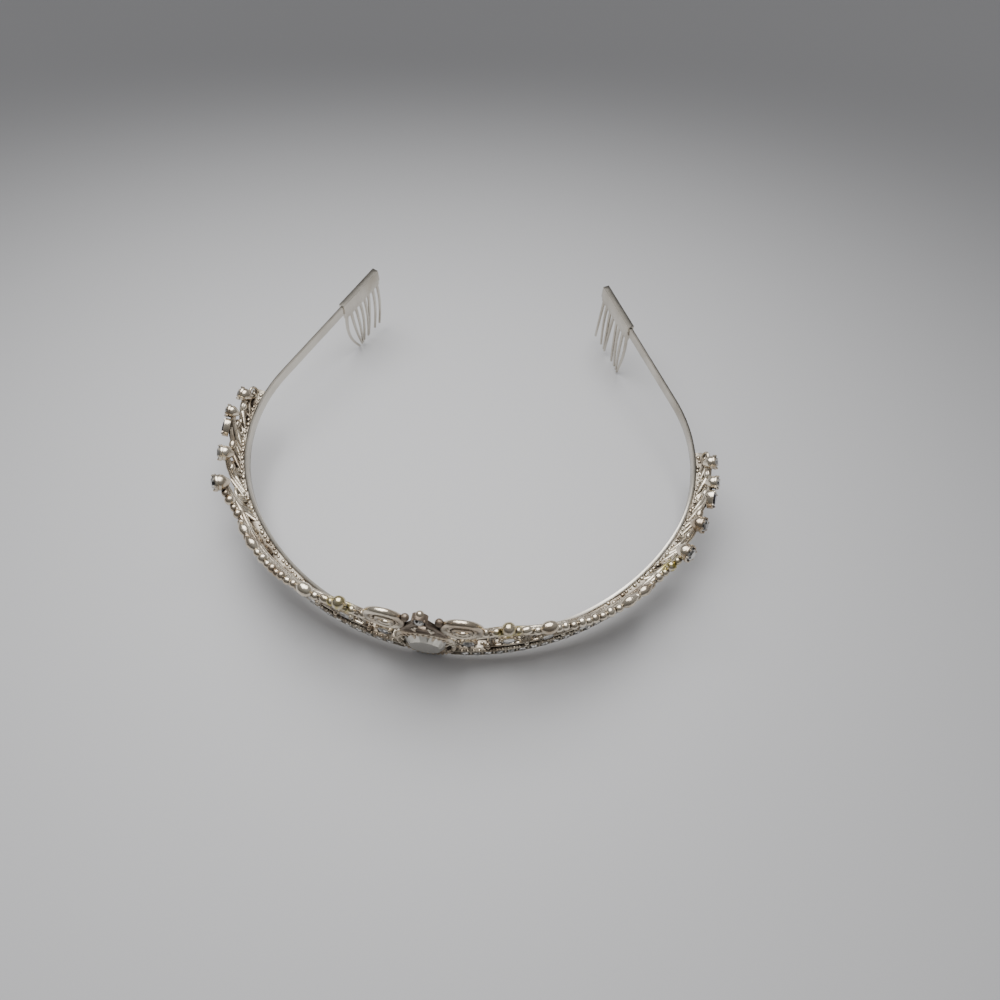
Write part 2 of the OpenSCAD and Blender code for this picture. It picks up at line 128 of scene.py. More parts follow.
class Socket:
    """A shader value that takes part in Python arithmetic."""

    def __init__(self, tree, link):
        self.tree, self.link = tree, link

    def node(self, kind, output, inputs, **settings):
        """Output of a new node of that kind; inputs are values or sockets by name or number."""
        made = self.tree.nodes.new(kind)
        for key, value in settings.items():
            setattr(made, key, value)
        for key, value in inputs.items():
            if isinstance(value, Socket):
                self.tree.links.new(value.link, made.inputs[key])
            else:
                made.inputs[key].default_value = value
        return Socket(self.tree, made.outputs[output])

    def math(self, operation, first, second):
        return self.node("ShaderNodeMath", 0, {0: first, 1: second}, operation=operation)

    def __add__(self, other):
        return self.math("ADD", self, other)

    def __rsub__(self, other):
        return self.math("SUBTRACT", other, self)

    def __mul__(self, other):
        return self.math("MULTIPLY", self, other)

    __radd__ = __add__
    __rmul__ = __mul__

    def step(self, low, high):
        """0 below low and 1 above high, easing between them."""
        return self.node("ShaderNodeMapRange", 0, {0: self, 1: low, 2: high},
                         interpolation_type="SMOOTHSTEP")

    def blend(self, first, second):
        """Colour that goes from first to second as this value goes from 0 to 1."""
        return self.node("ShaderNodeMix", 2, {0: self, 6: first, 7: second}, data_type="RGBA")

    def noise(self, scale, detail=3.0):
        """Cloudy value over this place, with about that many clouds to the metre."""
        return self.node("ShaderNodeTexNoise", 0, {"Vector": self, "Scale": scale, "Detail": detail})

    def attribute(self, name):
        """Value that the mesh's faces carry under that name."""
        return self.node("ShaderNodeAttribute", 2, {}, attribute_name=name)

    def bump(self, strength, distance):
        """Normal from this value as a height, the distance in metres."""
        return self.node("ShaderNodeBump", 0, {"Height": self, "Strength": strength, "Distance": distance})

    def near(self, place, reach):
        """1 at a place given in metres, fading to 0 at that reach."""
        gap = self.node("ShaderNodeVectorMath", 1, {0: self, 1: place}, operation="DISTANCE")
        return 1 - gap.step(0.3 * reach, reach)

    def hollow(self, reach, low, high):
        """1 where the surface is closed in within that reach in metres, and 0 where it is open."""
        open_air = self.node("ShaderNodeAmbientOcclusion", 1, {"Distance": reach}, samples=8)
        return 1 - open_air.step(low, high)

    def into(self, shader, name):
        self.tree.links.new(self.link, shader.inputs[name])


def new_material(name, **values):
    """Principled material with constant values, its shader and its object coordinates."""
    material = bpy.data.materials.new(name)
    material.use_nodes = True
    shader = material.node_tree.nodes["Principled BSDF"]
    for key, value in values.items():
        shader.inputs[key.replace("_", " ")].default_value = value
    coords = material.node_tree.nodes.new("ShaderNodeTexCoord")
    return material, shader, Socket(material.node_tree, coords.outputs["Object"])


BAND_TONE = (0.66, 0.62, 0.55, 1)
BAND_DULL = (0.44, 0.40, 0.33, 1)
BAND_GRIME_SHADE = (0.14, 0.12, 0.09, 1)
# Colour of the painted shade on the band's and the combs' upward faces.
BAND_TOP_SHADE = (0.12, 0.112, 0.098, 1)
UNSHADED_TOP_PLACE, UNSHADED_TOP_REACH = 60, 36 * METRES
GRIME_SHADE_REACH = 1.2 * METRES
BAND_GRAIN_DEPTH = 0.2 * METRES

band_metal, shader, place = new_material("band_metal", Metallic=1.0)
tone = place.noise(70, 5).step(0.38, 0.72).blend(BAND_TONE, BAND_DULL)
# Darker in the hollows and where parts meet: some grime, and painted shade from an occlusion mask.
grime_and_shade = place.hollow(GRIME_SHADE_REACH, 0.3, 0.8) * place.noise(500, 4).step(0.3, 0.7)
unshaded_top = place.near(AT_REST @ on_band(UNSHADED_TOP_PLACE).translation, UNSHADED_TOP_REACH)
# Painted shade on the upward faces, left off around one place on the band's front, where the top keeps its
# plain tone.
cut = place.attribute("painted_top_shade") * (1 - unshaded_top)
cut.blend(grime_and_shade.blend(tone, BAND_GRIME_SHADE), BAND_TOP_SHADE).into(shader, "Base Color")
(0.14 + 0.16 * place.noise(180) + 0.25 * grime_and_shade + 0.2 * cut).into(shader, "Roughness")
(place.noise(240, 2) + 0.25 * place.noise(1800)).bump(0.35, BAND_GRAIN_DEPTH).into(shader, "Normal")

band_frames = [on_band(BAND_HALF * (2 * i / BAND_STEPS - 1)) for i in range(BAND_STEPS + 1)]
band_section = [(0, 0), (0, BAND_HIGH), (BAND_THICK, BAND_HIGH), (BAND_THICK, 0)]
add_piece("band", sweep(band_frames, band_section, BAND_EDGE), band_metal, "cast_silver", "crown_frame")

# Lower rail. The foot of the silver casting, soldered to the outside of the band on both sides of
# the medal: a channel with beaded edges. All the crown's other parts grow from it, on a wall that
# leans in at the middle and out at the sides.

SIDES = (-1, 1)
CROWN_HALF, CROWN_SHIFT = 106.0, 5.0
LEAN_MIDDLE, LEAN_SIDE, LEAN_SPREAD = -2.0, 13.0, 60.0
WALL = 2.4
RAIL_LOW, RAIL_HIGH, RAIL_BACK, RAIL_FRONT, RAIL_LIP = -0.6, 2.9, BAND_THICK - 0.25, 4.2, 0.58
RAIL_FROM, RAIL_EDGE, RAIL_STEPS = 5.92, 0.16, 70
BIG_BEAD = 0.7
ROW_SEAT = RAIL_FRONT - 0.9

SILVER = (0.86, 0.775, 0.63, 1)
SILVER_WARM = (0.50, 0.405, 0.30, 1)
RAIL_TONE = (0.52, 0.47, 0.39, 1)
RAIL_WARM = (0.30, 0.25, 0.19, 1)
# Tarnish and painted shade in the casting's hollows.
TARNISH_AND_SHADE = (0.045, 0.032, 0.024, 1)
GILT = (0.44, 0.36, 0.07, 1)
GILT_SPOTS = [(20.6, 19.0, 5.0), (-20.6, 19.5, 5.0), (66.3, 10.5, 3.8)]
CAST_GRAIN_DEPTH = 0.14 * METRES


def on_wall(s, h=0.0, out=WALL):
    """Axes on the crown's leaning wall, s along from its own middle and h up."""
    ease = min(1, abs(s) / LEAN_SPREAD)
    lean = LEAN_MIDDLE + (LEAN_SIDE - LEAN_MIDDLE) * ease * ease * (3 - 2 * ease)
    return (on_band(s - CROWN_SHIFT, out) @ Matrix.Rotation(math.radians(lean), 4, "X")
            @ Matrix.Translation((0, 0, h)))


def on_rail(s, out, up):
    """Axes on the upright rail, s along from the crown's own middle."""
    return on_band(s - CROWN_SHIFT, out, up)


def place_shape(bm, part, axes):
    """Adds to bm a shape that was modelled at the origin, set in the axes."""
    part.transform(axes)
    mesh = bpy.data.meshes.new("part")
    part.to_mesh(mesh)
    part.free()
    bm.from_mesh(mesh)
    bpy.data.meshes.remove(mesh)


def bead(bm, axes, radius, along=1.0, up=1.0):
    """Cast bead with its middle at the axes, stretched along x and up z."""
    part = bmesh.new()
    fine = 16 if radius > BIG_BEAD else 8
    bmesh.ops.create_uvsphere(part, u_segments=fine, v_segments=fine * 2 // 3, radius=radius)
    place_shape(bm, part, axes @ Matrix.Diagonal((along, 1, up, 1)))


def cast_metal(name, bright, warm, reach, rough, bump):
    """Cast silver that is darker in its hollows and where parts meet, from tarnish and painted shade, and
    turned yellow-green in a few spots.
    """
    material, shader, place = new_material(name, Metallic=1.0)
    stain = place.noise(300, 4).step(0.3, 0.75)
    # Tarnish and painted shade: an occlusion mask darkens the hollows and the joints between parts.
    dark = place.math("MINIMUM", place.hollow(reach, 0.3, 0.95) * (0.6 + 0.8 * stain), 1.0)
    gilt = sum(place.near(AT_REST @ on_wall(s, h).translation, far * METRES) for s, h, far in GILT_SPOTS)
    tone = place.noise(150, 4).step(0.38, 0.68).blend(bright, warm)
    tone = (gilt * place.noise(700, 3).step(0.35, 0.6)).blend(tone, GILT)
    dark.blend(tone, TARNISH_AND_SHADE).into(shader, "Base Color")
    (rough + 0.14 * place.noise(400) + 0.35 * dark).into(shader, "Roughness")
    grain = place.noise(1100, 4) + 0.5 * place.noise(3200, 2)
    grain.bump(bump, CAST_GRAIN_DEPTH).into(shader, "Normal")
    return material


cast_silver = cast_metal("cast_silver", SILVER, SILVER_WARM, 2.2 * METRES, 0.10, 0.5)
cast_rail = cast_metal("cast_rail", RAIL_TONE, RAIL_WARM, 2.0 * METRES, 0.3, 1.0)

rail_section = [(RAIL_BACK, RAIL_LOW), (RAIL_BACK, RAIL_HIGH), (RAIL_FRONT, RAIL_HIGH),
                (RAIL_FRONT, RAIL_HIGH - RAIL_LIP), (ROW_SEAT, RAIL_HIGH - RAIL_LIP),
                (ROW_SEAT, RAIL_LOW + RAIL_LIP), (RAIL_FRONT, RAIL_LOW + RAIL_LIP), (RAIL_FRONT, RAIL_LOW)]
for word, first, last in (("left", -CROWN_HALF, -RAIL_FROM), ("right", RAIL_FROM, CROWN_HALF)):
    rail_frames = [on_rail(first + (last - first) * i / RAIL_STEPS, 0, 0) for i in range(RAIL_STEPS + 1)]
    add_piece(f"lower_rail_{word}", sweep(rail_frames, rail_section, RAIL_EDGE), cast_rail, "cast_silver",
              "crown_frame")

MEDAL_HALF, MEDAL_WIRE = (7.108, 8.019), 1.1
ROW_PITCH, ROW_STONE, ROW_COUNT = 2.9, 2.1, 33
ROW_FROM = MEDAL_HALF[0] + MEDAL_WIRE + ROW_STONE / 2 + 0.3
ROW_LEVEL = (RAIL_LOW + RAIL_HIGH) / 2
EDGE_BEAD, EDGE_OUT, EDGE_SINK = 0.44, RAIL_FRONT - 0.4, 0.08
FOOT_BEAD, FOOT_SINK = 0.4, 0.12
INNER_BEADS, INNER_FROM, INNER_PITCH, INNER_STRAY, INNER_SINK = 62, 14, 1.48, 0.3, 0.05
INNER_OUT, INNER_BEAD, INNER_LONG = (1.35, 1.95), (0.35, 0.6), (1, 1.6)
PRONG, PRONG_APART, PRONG_OUT = 0.38, 0.52, RAIL_FRONT - 0.3
row_places = [side * (ROW_FROM + i * ROW_PITCH) for side in SIDES for i in range(ROW_COUNT)]

cast = random.Random(7)
bm = bmesh.new()
for side in SIDES:
    for i in range(2 * ROW_COUNT):
        s = side * (ROW_FROM + (i - 0.5) * ROW_PITCH / 2)
        bead(bm, on_rail(s, EDGE_OUT, RAIL_HIGH - EDGE_SINK), EDGE_BEAD)
        bead(bm, on_rail(s, EDGE_OUT, RAIL_LOW + FOOT_SINK), FOOT_BEAD)
    for i in range(INNER_BEADS):
        s = side * (INNER_FROM + INNER_PITCH * i + cast.uniform(-INNER_STRAY, INNER_STRAY))
        out, radius, along = cast.uniform(*INNER_OUT), cast.uniform(*INNER_BEAD), cast.uniform(*INNER_LONG)
        bead(bm, on_rail(s, out, RAIL_HIGH - INNER_SINK), radius, along)
for s in row_places:
    for up in (-PRONG_APART, PRONG_APART):
        between = s + ROW_PITCH / 2 * math.copysign(1, s)
        bead(bm, on_rail(between, PRONG_OUT, ROW_LEVEL + up), PRONG)
add_piece("rail_beads", bm, cast_silver, "cast_silver", "crown_frame")

# Medal. The oval setting in the middle: a heavy ring of silver wire with a beaded edge and eight
# claws, closed at the back by a darker plate, in one casting with the rail.

MEDAL_LEVEL, MEDAL_SINK, GIRDLE_OUT = 5.8, 0.3, 3.3
MEDAL_EDGE = (MEDAL_HALF[0] + 0.8, MEDAL_HALF[1] + 0.65)
MEDAL_MOUTH = (MEDAL_HALF[0] - 0.75, MEDAL_HALF[1] - 0.75)
MEDAL_BEADS = ((MEDAL_HALF, 3.85, 0.56, 34), (MEDAL_EDGE, 3.1, 0.42, 44))
MEDAL_PLATE = 0.95
MEDAL_CLAWS = 8
CLAW_ROWS = ((1.06, 3.4, 0.5), (0.98, 4.1, 0.42), (0.87, 4.3, 0.3))
GROUND = (0.36, 0.30, 0.24, 1)
GROUND_WARM = (0.19, 0.145, 0.11, 1)


def add_wires(name, runs, material, slot="cast_silver", node="crown_frame",
              resolution=3, fine=4, axes=on_wall):
    """Round wires, one for each run: rows of (s, h, out, radius), and whether it is a ring."""
    curve = bpy.data.curves.new(name, "CURVE")
    curve.dimensions = "3D"
    curve.bevel_depth = 1.0
    curve.bevel_resolution = resolution
    curve.resolution_u = fine
    curve.use_fill_caps = True
    for rows, ring in runs:
        spline = curve.splines.new("NURBS")
        spline.points.add(len(rows) - 1)
        for point, (s, h, out, radius) in zip(spline.points, rows):
            point.co = (*(AT_REST @ axes(s, h, out).translation), 1)
            point.radius = radius * METRES
        spline.order_u = min(4, len(rows))
        spline.use_endpoint_u = not ring
        spline.use_cyclic_u = ring
    set_down(name, curve, material, slot, node)


def add_beads(name, rows, material):
    """Cast beads on the wall: rows of (s, h, out, radius), with a stretch along it if given."""
    bm = bmesh.new()
    for s, h, out, radius, *along in rows:
        bead(bm, on_wall(s, h, out), radius, *along)
    add_piece(name, bm, material, "cast_silver", "crown_frame")


def oval(level, half, out, radius, steps=28, s=0.0):
    """Ring of wire rows round a centre on the wall."""
    turns = [2 * math.pi * i / steps for i in range(steps)]
    return [(s + half[0] * math.sin(a), level + half[1] * math.cos(a), out, radius) for a in turns]


def facing(s, h, out):
    """Axes on the wall with z straight out of it."""
    return on_wall(s, h, out) @ Matrix.Rotation(math.pi / 2, 4, "X")


cast_ground = cast_metal("cast_ground", GROUND, GROUND_WARM, 2.5 * METRES, 0.42, 0.9)

medal_ring = oval(MEDAL_LEVEL, MEDAL_HALF, GIRDLE_OUT - MEDAL_SINK, MEDAL_WIRE)
add_wires("medal_ring", [(medal_ring, True)], cast_silver, fine=3)
medal_beads = [row for half, out, radius, count in MEDAL_BEADS
               for row in oval(MEDAL_LEVEL, half, out, radius, count)]
add_beads("medal_beads", medal_beads, cast_silver)
claws = []
for i in range(MEDAL_CLAWS):
    a = math.pi * (i + 0.5) / (MEDAL_CLAWS / 2)
    claws.append(([(share * MEDAL_MOUTH[0] * math.sin(a), MEDAL_LEVEL + share * MEDAL_MOUTH[1] * math.cos(a),
                    out, radius) for share, out, radius in CLAW_ROWS], False))
add_wires("medal_claws", claws, cast_silver)
bm = bmesh.new()
bmesh.ops.create_circle(bm, segments=48, radius=1, cap_ends=True,
                        matrix=facing(0, MEDAL_LEVEL, RAIL_BACK) @ Matrix.Diagonal((*MEDAL_HALF, 1, 1)))
made = bmesh.ops.extrude_face_region(bm, geom=bm.faces[:])["geom"]
bmesh.ops.translate(bm, verts=verts_of(made), vec=on_wall(0, 0).to_3x3() @ Vector((0, -MEDAL_PLATE, 0)))
add_piece("medal_plate", bm, cast_ground, "cast_silver", "crown_frame")

# Peak. A pierced three-cornered plate between the two big loops, with a raised rim, a curl of wire
# down each side, a bead on each shoulder and an open cup for the round stone at its top.

PEAK_LEVEL, PEAK_OUT, PEAK_PLATE, PEAK_MIDDLE = 25.4, 2.3, 1.1, 17.8
PEAK_SIZE, PEAK_CORNER, PEAK_BORDER, PEAK_EDGE = (7.6, 7.4), 1.7, 2.1, 0.25
PEAK_STONE, PEAK_CUP_DEPTH, PEAK_CUP_WALL = 2.8, 1.9, 0.45
STONE_GAP, CUP_FLOOR, CUP_EDGE = 0.12, 0.5, 0.09
CUP_CLAWS, CLAW_PLACE, CLAW_SINK, CLAW_TALL = 4, 0.47, 0.05, 1.5
SIDE_RIM = [(5.4, 14.2, 0.9, 0.55), (4.2, 17.2, 1.0, 0.5), (2.4, 20.6, 1.0, 0.45), (0.9, 23.2, 1.0, 0.45)]
FOOT_RIM = [(-5.0, 14.0, 0.9, 0.5), (0, 14.9, 1.0, 0.5), (5.0, 14.0, 0.9, 0.5)]
CURL_PLACE, CURL_FOOT, CURL_SWING, CURL_OUT, CURL_WIRE = 1.9, 15.4, 0.75, PEAK_OUT + 1.15, 0.34
SHOULDER_PLACE, SHOULDER_LEVEL, SHOULDER = 4.1, 21.5, 1.1
PEAK_BEADS = [(-2.0, 17.4, 1.2, 0.6), (2.0, 17.4, 1.2, 0.6), (0, 21.6, 1.2, 0.62),
              (0, PEAK_LEVEL + 1.15, 0.4, 1.1)]


def push_face(part, face, depth):
    """Extrudes a face along z and returns the new one."""
    made = bmesh.ops.extrude_face_region(part, geom=[face])["geom"]
    bmesh.ops.translate(part, verts=verts_of(made), vec=(0, 0, depth))
    return next(g for g in made if isinstance(g, bmesh.types.BMFace))


def stone_cup(bm, axes, width, length, depth, wall, taper=0.0, claw=0.3):
    """Open cup that fits a stone, z of the axes out through its rim, with claws bent over the rim."""
    part = bmesh.new()
    bmesh.ops.create_circle(part, segments=24, radius=0.5, cap_ends=True)
    wide, long = width + 2 * (STONE_GAP + wall), length + 2 * (STONE_GAP + wall)
    for v in part.verts:
        v.co.x *= wide * (1 - 2 * taper * v.co.y)
        v.co.y *= long
    top = push_face(part, next(iter(part.faces)), depth)
    bmesh.ops.inset_region(part, faces=[top], thickness=wall, use_even_offset=True)
    push_face(part, top, CUP_FLOOR - depth)
    bmesh.ops.delete(part, geom=[top], context="FACES_ONLY")
    bmesh.ops.recalc_face_normals(part, faces=part.faces)
    round_edges(part, CUP_EDGE)
    for i in range(CUP_CLAWS):
        a = 2 * math.pi * (i + 0.5) / CUP_CLAWS
        narrowing = 1 - taper * math.sin(a)
        at = Vector((CLAW_PLACE * wide * math.cos(a) * narrowing, CLAW_PLACE * long * math.sin(a),
                     depth - CLAW_SINK))
        bead(part, Matrix.Translation(at), claw, up=CLAW_TALL)
    place_shape(bm, part, axes)


bm, part = bmesh.new(), bmesh.new()
bmesh.ops.create_circle(part, segments=3, radius=1, cap_ends=True)
bmesh.ops.scale(part, verts=part.verts, vec=(*PEAK_SIZE, 1))
bmesh.ops.translate(part, verts=part.verts, vec=(0, PEAK_MIDDLE, 0))
bmesh.ops.bevel(part, geom=part.verts[:], offset=PEAK_CORNER, segments=5, profile=0.5, affect="VERTICES",
                material=-1)
window = next(iter(part.faces))
bmesh.ops.inset_region(part, faces=[window], thickness=PEAK_BORDER, use_boundary=True)
bmesh.ops.delete(part, geom=[window], context="FACES_ONLY")
made = bmesh.ops.extrude_face_region(part, geom=part.faces[:])["geom"]
bmesh.ops.translate(part, verts=verts_of(made), vec=(0, 0, PEAK_PLATE))
bmesh.ops.recalc_face_normals(part, faces=part.faces)
round_edges(part, PEAK_EDGE)
place_shape(bm, part, facing(0, 0, PEAK_OUT))
stone_cup(bm, facing(0, PEAK_LEVEL, PEAK_OUT), PEAK_STONE, PEAK_STONE, PEAK_CUP_DEPTH, PEAK_CUP_WALL)
add_piece("peak_plate", bm, cast_ground, "cast_silver", "crown_frame")

rims, curls = [], []
for side in SIDES:
    rims.append(([(side * s, h, PEAK_OUT + proud, radius) for s, h, proud, radius in SIDE_RIM], False))
    curls.append(([(side * (CURL_PLACE + CURL_SWING * math.sin(a)), CURL_FOOT + a * CURL_SWING,
                    CURL_OUT, CURL_WIRE) for a in [0.5 * k for k in range(11)]], False))
rims.append(([(s, h, PEAK_OUT + proud, radius) for s, h, proud, radius in FOOT_RIM], False))
add_wires("peak_rims", rims, cast_ground)
add_wires("peak_curls", curls, cast_silver)
add_beads("peak_shoulders", [(side * SHOULDER_PLACE, SHOULDER_LEVEL, WALL, SHOULDER) for side in SIDES],
          cast_ground)
add_beads("peak_beads", [(s, h, PEAK_OUT + proud, radius) for s, h, proud, radius in PEAK_BEADS],
          cast_silver)

# Big loops. A thick ring of silver wire stands on each side of the medal, with a beaded wire inside
# it that follows its curve and a thinner ring within that.

LOOP_PLACE, LOOP_LEVEL, LOOP_HALF, LOOP_WIRE = 9.4, 18.4, (4.5, 5.2), 1.0
LOOP_LINER, LINER_BEAD, LINER_BEADS = (LOOP_HALF[0] - 1.25, LOOP_HALF[1] - 1.25), 0.62, 18
INNER_HALF, INNER_DROP, INNER_WIRE = (2.1, 2.3), 0.9, 0.62

rings, liner_beads = [], []
for side in SIDES:
    at = side * LOOP_PLACE
    rings.append((oval(LOOP_LEVEL, LOOP_HALF, WALL + 0.2, LOOP_WIRE, 20, at), True))
    rings.append((oval(LOOP_LEVEL - INNER_DROP, INNER_HALF, WALL + 0.4, INNER_WIRE, 16, at), True))
    liner_beads += oval(LOOP_LEVEL - 0.3, LOOP_LINER, WALL + 0.3, LINER_BEAD, LINER_BEADS, at)
add_wires("big_loops", rings, cast_silver, resolution=5)
add_beads("loop_liners", liner_beads, cast_silver)

# Arches. Five of silver wire on each side, getting lower outwards; they cross at the feet. A line
# of three wires ties their tops together and carries the grains and two leaves.

ARCHES = [(20.3, 4.5, 19.2), (29.9, 4.4, 17.0), (39.1, 4.1, 14.4), (47.5, 3.8, 11.9), (55.3, 3.5, 9.8)]
ARCH_FOOT, ARCH_SWEEP, WIRE = RAIL_HIGH - 0.6, math.radians(140), 0.65
LINER_IN, LINER_WIRE = 1.1, 0.3
TOP_LINE = [(13.0, 15.0), (16.0, 17.6), (20.3, 19.3), (25.0, 17.9), (30.0, 17.4), (39.0, 14.4),
            (47.5, 11.9), (55.3, 9.8), (62.0, 8.0), (67.0, 10.2), (70.0, 12.2)]
TOP_WIRES = ((0, 0.1), (-0.7, 0.7), (-0.6, -0.5))
GRAINS = [(14.9, 16.9, 1.25, 1), (20.2, 20.9, 1.8, 1), (24.3, 18.8, 1.1, 1.6), (29.6, 19.3, 1.7, 1.4),
          (33.6, 16.9, 1.15, 1), (37.7, 15.9, 1.3, 1), (41.2, 14.9, 1.3, 1), (45.6, 13.3, 1.45, 1),
          (62.4, 8.9, 1.4, 1), (66.3, 10.5, 1.5, 1)]
LEAVES = [(51.4, 11.7, 0.6), (56.8, 10.3, -0.4)]
LEAF_LENGTH, LEAF_THICK, LEAF_ROWS = 5.0, 1.25, 6
FILLERS = [(17.4, 19.0), (22.4, 19.9), (27.0, 18.5), (31.9, 17.7), (35.7, 16.4), (39.5, 15.5), (43.4, 14.2),
           (48.2, 12.7), (54.1, 11.2), (59.4, 9.5), (64.4, 9.7), (68.3, 11.6)]
FILLER, FILLER_LONG = 1.1, 1.15


arches, top_line, leaves, liners = [], [], [], []
for side in SIDES:
    for s, half, top in ARCHES:
        tall = (top - ARCH_FOOT) / (1 - math.cos(ARCH_SWEEP))
        turns = [ARCH_SWEEP * (k / 8 - 1) for k in range(17)]
        arches.append(([(side * s + half * math.sin(a), top - tall + tall * math.cos(a), WALL, WIRE)
                        for a in turns], False))
        liners.append(([(side * s + (half - LINER_IN) * math.sin(a),
                         top - tall + (tall - LINER_IN) * math.cos(a), WALL + 0.35, LINER_WIRE)
                        for a in turns[2:15]], False))
    for up, out in TOP_WIRES:
        top_line.append(([(side * s, h + up, WALL + out, WIRE) for s, h in TOP_LINE], False))
    for s, h, rise in LEAVES:
        leaf = []
        for k in range(LEAF_ROWS + 1):
            share = k / LEAF_ROWS
            leaf.append((side * (s + (share - 0.5) * LEAF_LENGTH), h + (share - 0.5) * rise, WALL + 0.3,
                         LEAF_THICK * (0.35 + 0.9 * math.sin(math.pi * k / LEAF_ROWS))))
        leaves.append((leaf, False))
add_wires("arches", arches, cast_silver, fine=2)
add_wires("arch_liners", liners, cast_silver, fine=2, resolution=2)
add_wires("top_line", top_line, cast_silver)
add_wires("leaves", leaves, cast_silver)
add_beads("grains", [(side * s, h, WALL + 0.3, radius, along) for side in SIDES
                     for s, h, radius, along in GRAINS], cast_silver)
add_beads("fillers", [(side * s, h - 0.4, WALL + 0.5, FILLER, FILLER_LONG) for side in SIDES
                      for s, h in FILLERS], cast_silver)

# Settings. A round cup on a post stands inside each arch and beside the medal. Small rings, grains
# and two crossed gallery wires fill the foot of the wall, all of cast silver.

CUP_DEPTH, CUP_WALL, CUP_BACK, CUP_CLAW = 1.5, 0.4, WALL - 0.4, 0.34
POST_WIRE, POST_SHORT = 0.5, 0.2
PANEL_CUPS = [(10.6, 8.0, 1.9)]
PANEL_CUPS += [(s, (top + ARCH_FOOT) / 2 - 0.2, min(2, half - 2)) for s, half, top in ARCHES]
FOOT_RINGS = [(70.2, 2.0, 1.7), (78.6, 1.9, 1.8), (90.4, 1.8, 1.6), (98.4, 1.8, 1.7), (103.6, 1.6, 1.7)]
RING_WIRE, RING_SINK, RING_GRAIN, GRAIN_LEVEL = 0.45, 0.3, 0.75, RAIL_HIGH + 0.75
CROSSINGS = [15.4] + [s + half + 0.35 for s, half, top in ARCHES]
CROSSING_GRAINS = ((0.5, 0.6, 0.8), (2.2, 0.5, 0.55))
GALLERY_FROM, GALLERY_PITCH, GALLERY_TURNS, GALLERY_WIRE = 14.5, 1.5, 61, 0.4
GALLERY_LEVEL, GALLERY_HIGH, GALLERY_LOW = RAIL_HIGH + 0.55, 0.95, -0.65

bm = bmesh.new()
posts = []
for side in SIDES:
    for s, h, half in PANEL_CUPS:
        stone_cup(bm, facing(side * s, h, CUP_BACK), 2 * half, 2 * half, CUP_DEPTH, CUP_WALL, claw=CUP_CLAW)
        posts.append(([(side * s, level, WALL + 0.1, POST_WIRE)
                       for level in (ARCH_FOOT, h - half - POST_SHORT)], False))
add_piece("panel_cups", bm, cast_silver, "cast_silver", "crown_frame")
add_wires("posts", posts, cast_silver)

rings, ring_grains = [], []
for side in SIDES:
    for s, wide, high in FOOT_RINGS:
        ring = oval(RAIL_HIGH + high - RING_SINK, (wide, high), WALL + 0.1, RING_WIRE, 12, side * s)
        rings.append((ring, True))
        ring_grains.append((side * s, GRAIN_LEVEL, WALL + 0.3, RING_GRAIN))
for side in SIDES:
    for s in CROSSINGS:
        ring_grains += [(side * s, RAIL_HIGH + up, WALL + out, radius) for up, out, radius in CROSSING_GRAINS]
    for first in (0, 1):
        gallery = []
        for k in range(GALLERY_TURNS):
            swing = GALLERY_HIGH if (k + first) % 2 else GALLERY_LOW
            gallery.append((side * (GALLERY_FROM + GALLERY_PITCH * k), GALLERY_LEVEL + swing, WALL + 0.35,
                            GALLERY_WIRE))
        rings.append((gallery, False))
add_wires("foot_rings", rings, cast_silver, fine=2)
add_beads("foot_grains", ring_grains, cast_silver)

# Tips. Four cup settings on each side stand on slanting stems of two silver wires, and a
# pear-shaped one between the second and the third. Looser wires, streaks and grains fill the wall
# between the stems, which widen into the open end of the crown.

TIP_CUPS = [(70.6, 13.4, 2.4, 66.2), (81.3, 8.9, 2.3, 74.6), (94.1, 9.0, 1.95, 86.2),
            (101.0, 7.0, 2.1, 94.4)]
CUP_PROFILE = ((0, -1.28), (0.3, -1.2), (0.5, -0.92), (0.86, -0.5), (0.98, -0.1), (0.92, 0.08), (0.92, 0.18),
               (1.06, 0.26), (1.06, 0.46), (0.94, 0.58))
CUP_LIP, CUP_BED, CUP_STEPS = 0.56, 0.2, 20
CUP_TURN, CUP_OUT, RIM = math.radians(52), WALL + 0.5, 0.42
TIP_CLAWS, TIP_CLAW, CLAW_IN = 6, 0.36, 0.86
DROP_PLACE, DROP_LEVEL, DROP_HALF, DROP_FOOT = 89.6, 7.6, 1.35, 82.6
DROP_LENGTH, DROP_DEPTH, DROP_TAPER, DROP_ROLL = 4.4, 1.7, 0.3, math.radians(105)
STEM_ROWS = (0, 0.25, 0.5, 0.75, 1)
STEM_APART, STEM_SHORT = 0.62, 0.8
LOOSE_WIRES = ((-4.6, 0.45), (-3.2, 0.7), (-1.6, 0.9), (2.0, 0.9), (3.6, 0.75), (5.0, 0.5))
STREAKS, STREAK_FROM, STREAK_PITCH = 7, 71.5, 4.7
STREAK_ROWS = ((-3, RAIL_HIGH, -0.9, 0.7), (-0.6, 3.9, -0.3, 1), (1.6, 4.9, 0.4, 1), (3.2, 5.2, 0.9, 0.5))
STEM_GRAINS = [(78.4, 5.6, 1.1), (85.6, 5.4, 1.15), (92.2, 5.3, 1.1), (98.2, 5.0, 1.0)]


def cup_axes(side, s, h):
    """Axes of a tip's setting, z out through its stone."""
    return on_wall(side * s, h, CUP_OUT) @ Matrix.Rotation(CUP_TURN, 4, "X")


def drop_axes(side):
    """Axes of the pear-shaped setting, y along it."""
    return cup_axes(side, DROP_PLACE, DROP_LEVEL) @ Matrix.Rotation(side * DROP_ROLL, 4, "Z")


